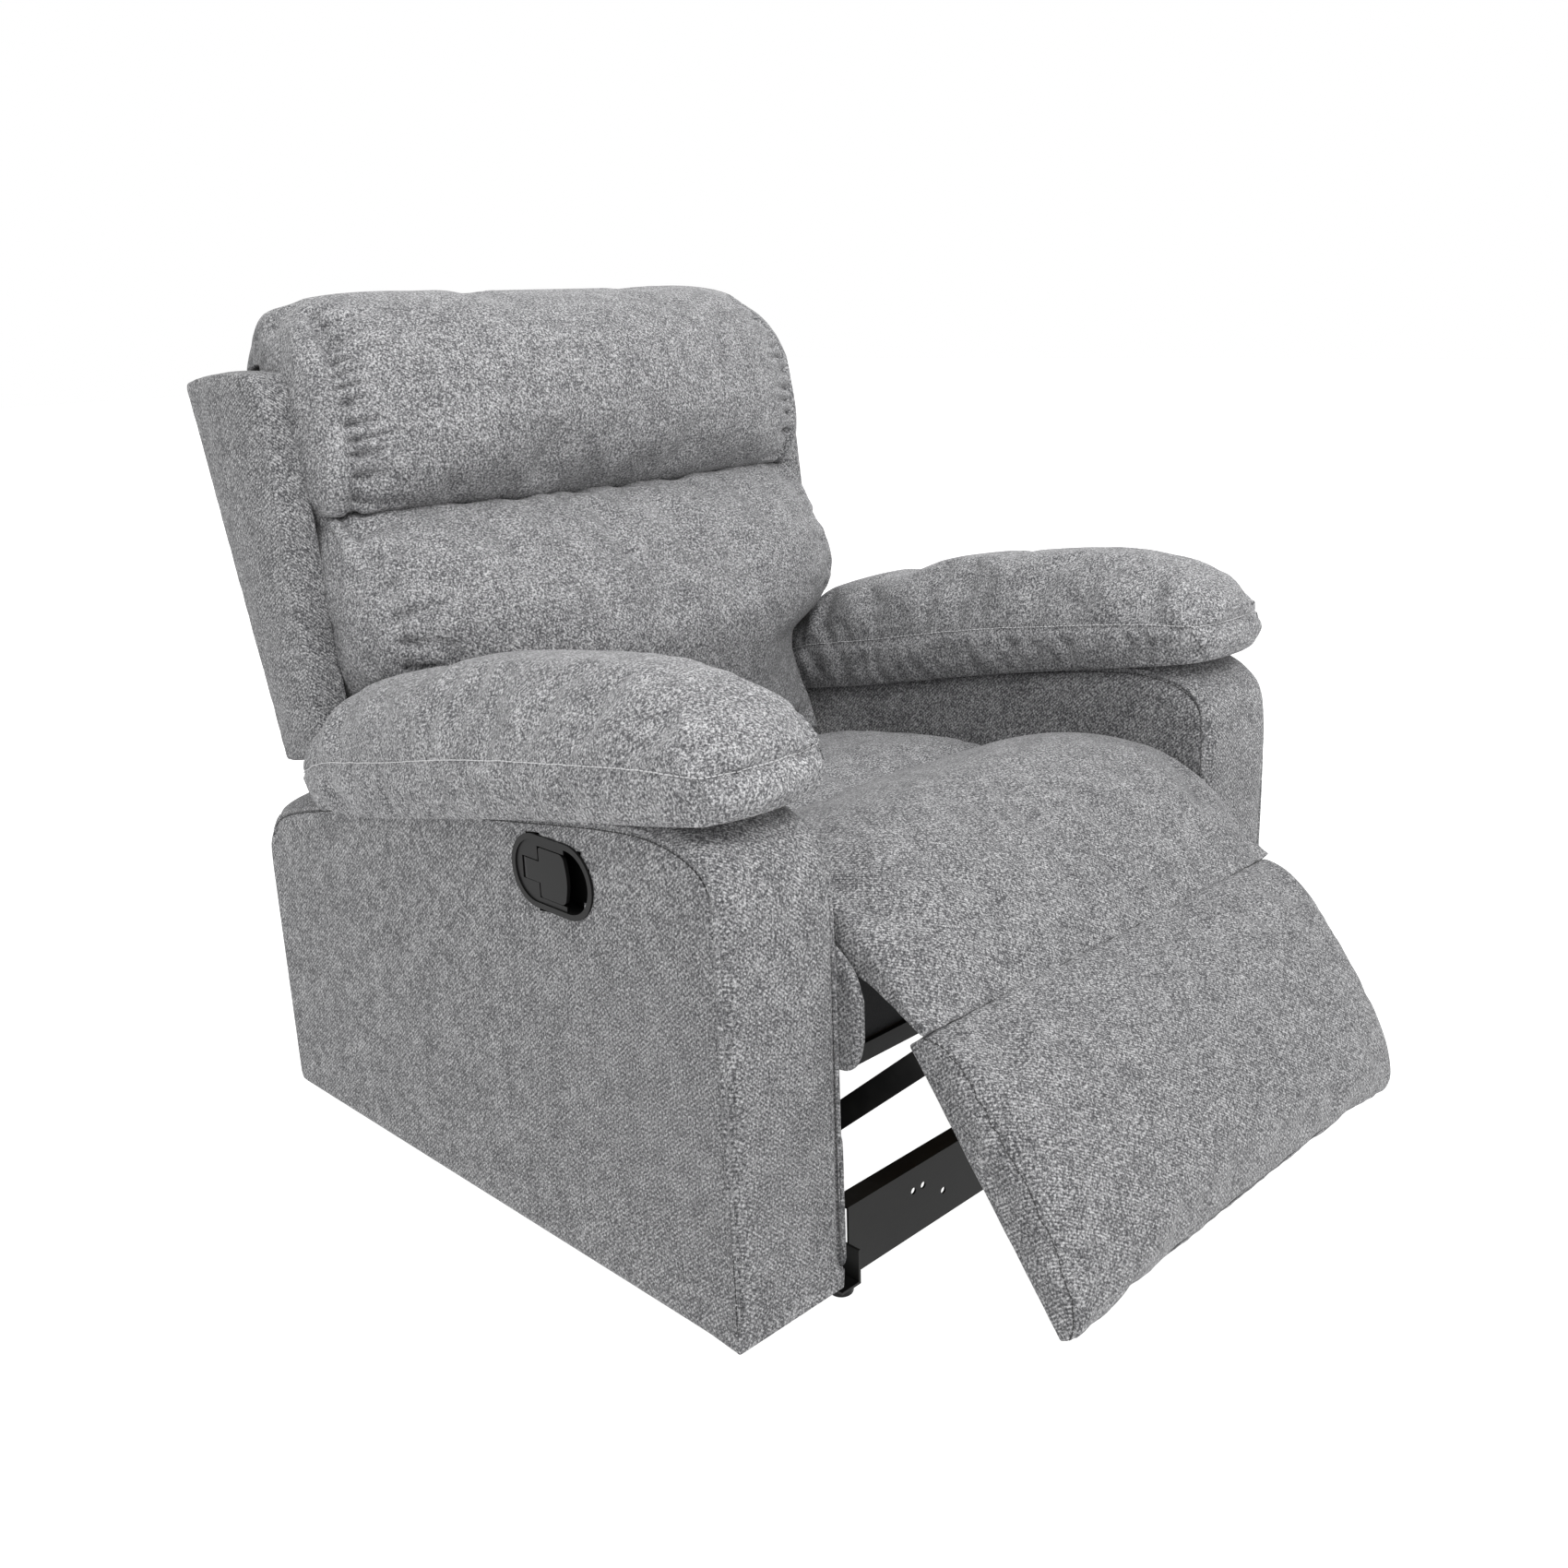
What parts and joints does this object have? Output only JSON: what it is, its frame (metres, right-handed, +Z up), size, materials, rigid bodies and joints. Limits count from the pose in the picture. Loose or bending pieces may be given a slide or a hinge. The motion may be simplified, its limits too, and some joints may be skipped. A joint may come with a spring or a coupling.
{
  "type": "recliner armchair",
  "caption": "Upholstered recliner armchair: fixed arms on a steel base, gliding seat, reclining back and a footrest raised by parallel links, with a side release handle.",
  "frame": {"origin": "middle of the chair's overall box, at floor level", "axes": "+Z up, the chair faces -Y, +X is the sitter's left"},
  "size_m": [0.972, 1.2612, 1.013],
  "materials": {
    "marl_fabric": "grey marl chenille weave",
    "frame_wood": "sawn plywood",
    "zinc_steel": "zinc plated",
    "black_plastic": "semi-gloss moulded plastic",
    "black_cloth": "non-woven dust cloth",
    "black_steel": "black paint, semi-gloss"
  },
  "bodies": {
    "base": {"base_side_rail_right": "black_steel", "base_side_rail_left": "black_steel", "base_posts_right": "black_steel", "base_posts_left": "black_steel", "front_cross_rail": "black_steel", "rear_cross_tube": "black_steel", "floor_glides": "black_plastic", "arm_bolts": "zinc_steel", "arm_cover_right": "marl_fabric", "arm_cover_left": "marl_fabric", "arm_frame_right": "frame_wood", "arm_frame_left": "frame_wood", "arm_front_panel_right": "marl_fabric", "arm_front_panel_left": "marl_fabric", "arm_base_cloth_right": "black_cloth", "arm_base_cloth_left": "black_cloth", "arm_pillow_right": "marl_fabric", "arm_pillow_left": "marl_fabric", "release_bezel": "black_plastic", "lever_pin": "zinc_steel", "release_cable": "black_plastic"},
    "seat": {"seat_plate_right": "black_steel", "seat_plate_left": "black_steel", "glide_rollers": "black_plastic", "back_pivot_pins": "black_steel", "seat_screws": "zinc_steel", "seat_frame": "frame_wood", "seat_springs": "zinc_steel", "seat_deck": "black_cloth", "dust_cover": "black_cloth", "seat_front_board": "black_cloth", "front_seat_rail": "black_steel", "seat_cushion": "marl_fabric", "knee_pad": "marl_fabric", "seat_skirt_right": "marl_fabric", "seat_skirt_left": "marl_fabric"},
    "drive": {"drive_link_right": "black_steel", "drive_link_left": "black_steel", "drive_tube": "black_steel", "open_pivot_pins": "black_steel"},
    "lift": {"lift_link_right": "black_steel", "lift_link_left": "black_steel"},
    "footrest": {"footrest_pad": "marl_fabric", "footrest_board": "black_cloth", "footrest_cross_bar": "black_steel", "footrest_screws": "zinc_steel", "lift_pins": "black_steel", "footrest_bracket_right": "black_steel", "footrest_bracket_left": "black_steel"},
    "back": {"back_wing_right": "marl_fabric", "back_wing_left": "marl_fabric", "back_rear_panel": "marl_fabric", "back_frame": "frame_wood", "back_springs": "zinc_steel", "headrest_cushion": "marl_fabric", "lumbar_cushion": "marl_fabric", "back_bolts": "zinc_steel", "back_bracket_right": "black_steel", "back_bracket_left": "black_steel"},
    "lever": {"release_lever": "black_plastic"}
  },
  "joints": [
    {"name": "seat_glide", "type": "slide", "parent": "base", "child": "seat", "axis": [0, -1, 0], "range_m": [0, 0.022]},
    {"name": "footrest_tilt", "type": "hinge", "parent": "seat", "child": "footrest", "pos_m": [0, -0.44263, 0.446], "axis": [-1, 0, 0], "range_deg": [-32, 40]},
    {"name": "drive_swing", "type": "hinge", "parent": "seat", "child": "drive", "pos_m": [0, -0.24263, 0.266], "axis": [-1, 0, 0], "range_deg": [-32, 40]},
    {"name": "lift_swing", "type": "hinge", "parent": "footrest", "child": "lift", "pos_m": [0, -0.42603, 0.2838], "axis": [1, 0, 0], "range_deg": [-32, 40]},
    {"name": "back_recline", "type": "hinge", "parent": "seat", "child": "back", "pos_m": [0, 0.34537, 0.35], "axis": [-1, 0, 0], "range_deg": [0, 20]},
    {"name": "release_lever", "type": "hinge", "parent": "base", "child": "lever", "pos_m": [-0.471, -0.07663, 0.449], "axis": [0, 0, -1], "range_deg": [0, 30], "stiffness_Nm_per_rad": 0.6}
  ],
  "couplings": [
    {"joint": "seat_glide", "follows": "back_recline", "m_per_rad": 0.063025},
    {"joint": "drive_swing", "follows": "footrest_tilt", "ratio": 1},
    {"joint": "lift_swing", "follows": "footrest_tilt", "ratio": 1}
  ]
}
